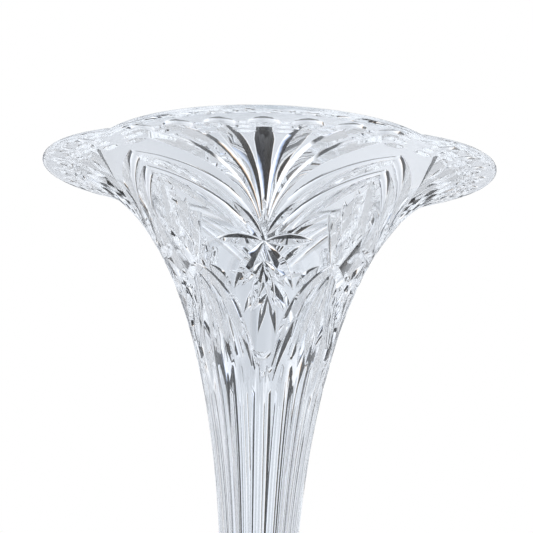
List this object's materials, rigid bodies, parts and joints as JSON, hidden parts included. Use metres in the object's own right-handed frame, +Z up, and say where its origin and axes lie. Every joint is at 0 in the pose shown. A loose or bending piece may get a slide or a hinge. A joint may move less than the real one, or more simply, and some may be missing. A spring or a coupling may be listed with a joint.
{
  "type": "cut crystal trumpet vase",
  "caption": "Tall clear cut-glass vase: lobed flared bowl with fans and stars, fluted hollow neck, faceted knop, round foot.",
  "frame": {"origin": "centre of the foot on the table surface", "axes": "+Z up along the vase's axis; one lobe of the rim faces each of -Y, +X, +Y and -X"},
  "size_m": [0.203, 0.203, 0.305],
  "materials": {
    "crystal_bowl": "clear polished lead crystal, deep polished mitre cuts outside, smooth inside",
    "crystal_base": "clear polished lead crystal, solid, with flat polished facets and mitres",
    "bond_film": "water-clear cured bonding film"
  },
  "bodies": {
    "root": {"trumpet": "crystal_bowl", "neck_bond": "bond_film", "knop": "crystal_base", "foot_bond": "bond_film", "foot": "crystal_base"}
  },
  "joints": []
}
